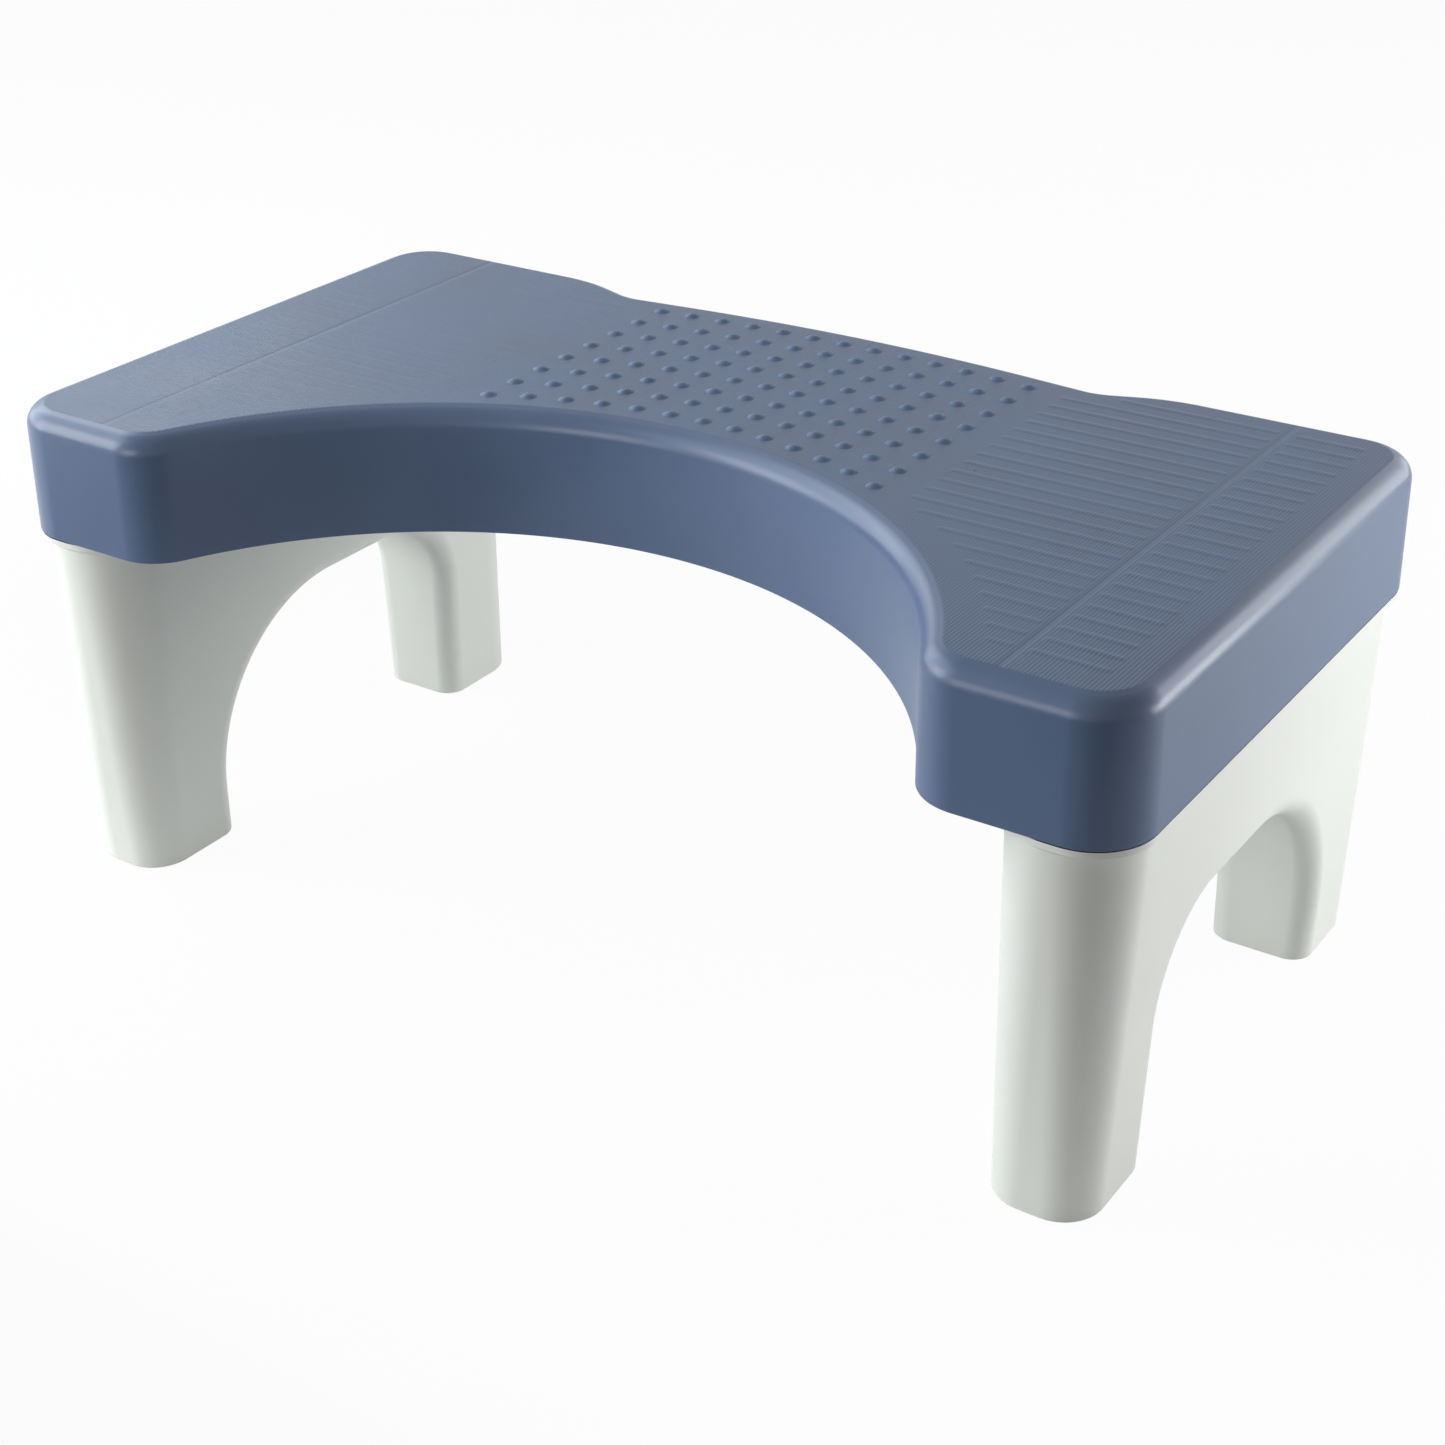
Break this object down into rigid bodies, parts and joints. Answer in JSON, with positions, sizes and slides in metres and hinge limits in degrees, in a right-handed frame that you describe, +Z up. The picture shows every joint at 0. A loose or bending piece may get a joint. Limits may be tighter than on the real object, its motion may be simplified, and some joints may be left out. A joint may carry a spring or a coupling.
{
  "type": "toilet footstool",
  "caption": "Low two-tone plastic footstool with a curved bay that fits round the foot of a toilet bowl, a textured non-slip top and arched end legs.",
  "frame": {"origin": "on the floor, under the middle of the stool's length and depth", "axes": "+X along the stool's length towards the right leg frame, seen by a person who stands at the bay; +Y from the bay to the back; +Z up"},
  "size_m": [0.42, 0.2206, 0.1762],
  "materials": {
    "navy_plastic": "fine satin moulded texture, dark grey blue",
    "white_plastic": "satin, off-white with a faint green cast",
    "pad_rubber": "matt soft grey",
    "zinc_steel": "bright zinc plate"
  },
  "bodies": {
    "root": {"top_shell": "navy_plastic", "leg_frame_right": "white_plastic", "leg_frame_left": "white_plastic", "foot_pad_front_right": "pad_rubber", "foot_pad_back_right": "pad_rubber", "foot_pad_front_left": "pad_rubber", "foot_pad_back_left": "pad_rubber", "leg_screw_right_front": "zinc_steel", "leg_screw_right_middle": "zinc_steel", "leg_screw_right_back": "zinc_steel", "leg_screw_left_front": "zinc_steel", "leg_screw_left_middle": "zinc_steel", "leg_screw_left_back": "zinc_steel"}
  },
  "joints": []
}
